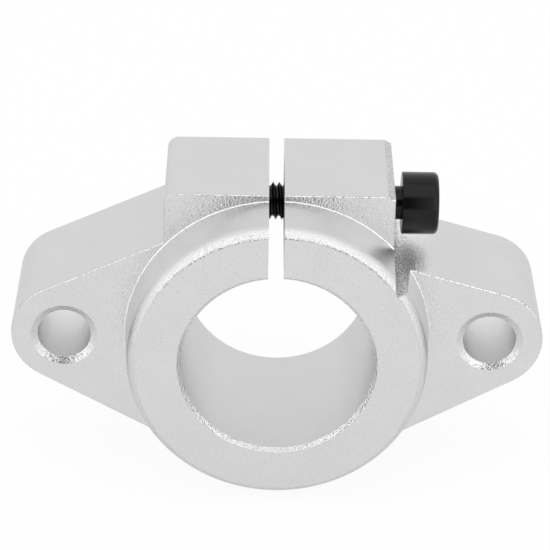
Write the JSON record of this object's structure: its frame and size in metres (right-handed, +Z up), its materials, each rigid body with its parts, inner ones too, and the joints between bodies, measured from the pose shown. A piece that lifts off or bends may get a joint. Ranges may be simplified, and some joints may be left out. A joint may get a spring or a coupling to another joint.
{
  "type": "shaft support block",
  "caption": "Flanged shaft support: a split clamp ring with a boss and two mounting ears, closed by a socket head screw.",
  "frame": {"origin": "on the shaft axis, in the plane of the flat mounting face, midway between the two mounting holes", "axes": "+Y runs along the shaft axis into the wall that the block is fixed to, so the boss points to -Y; +Z points up to the clamp lugs; +X points to the head of the clamp screw"},
  "size_m": [0.0698, 0.025, 0.0413],
  "materials": {
    "cast_aluminium": "fine blasted casting with smooth machined bore",
    "black_steel": "black oxide, slightly oiled"
  },
  "bodies": {
    "block": {"support_body": "cast_aluminium"},
    "screw": {"clamp_screw": "black_steel"}
  },
  "joints": [
    {"name": "clamp_screw_travel", "type": "slide", "parent": "block", "child": "screw", "axis": [-1, 0, 0], "range_m": [-0.007, 0.0012]}
  ]
}
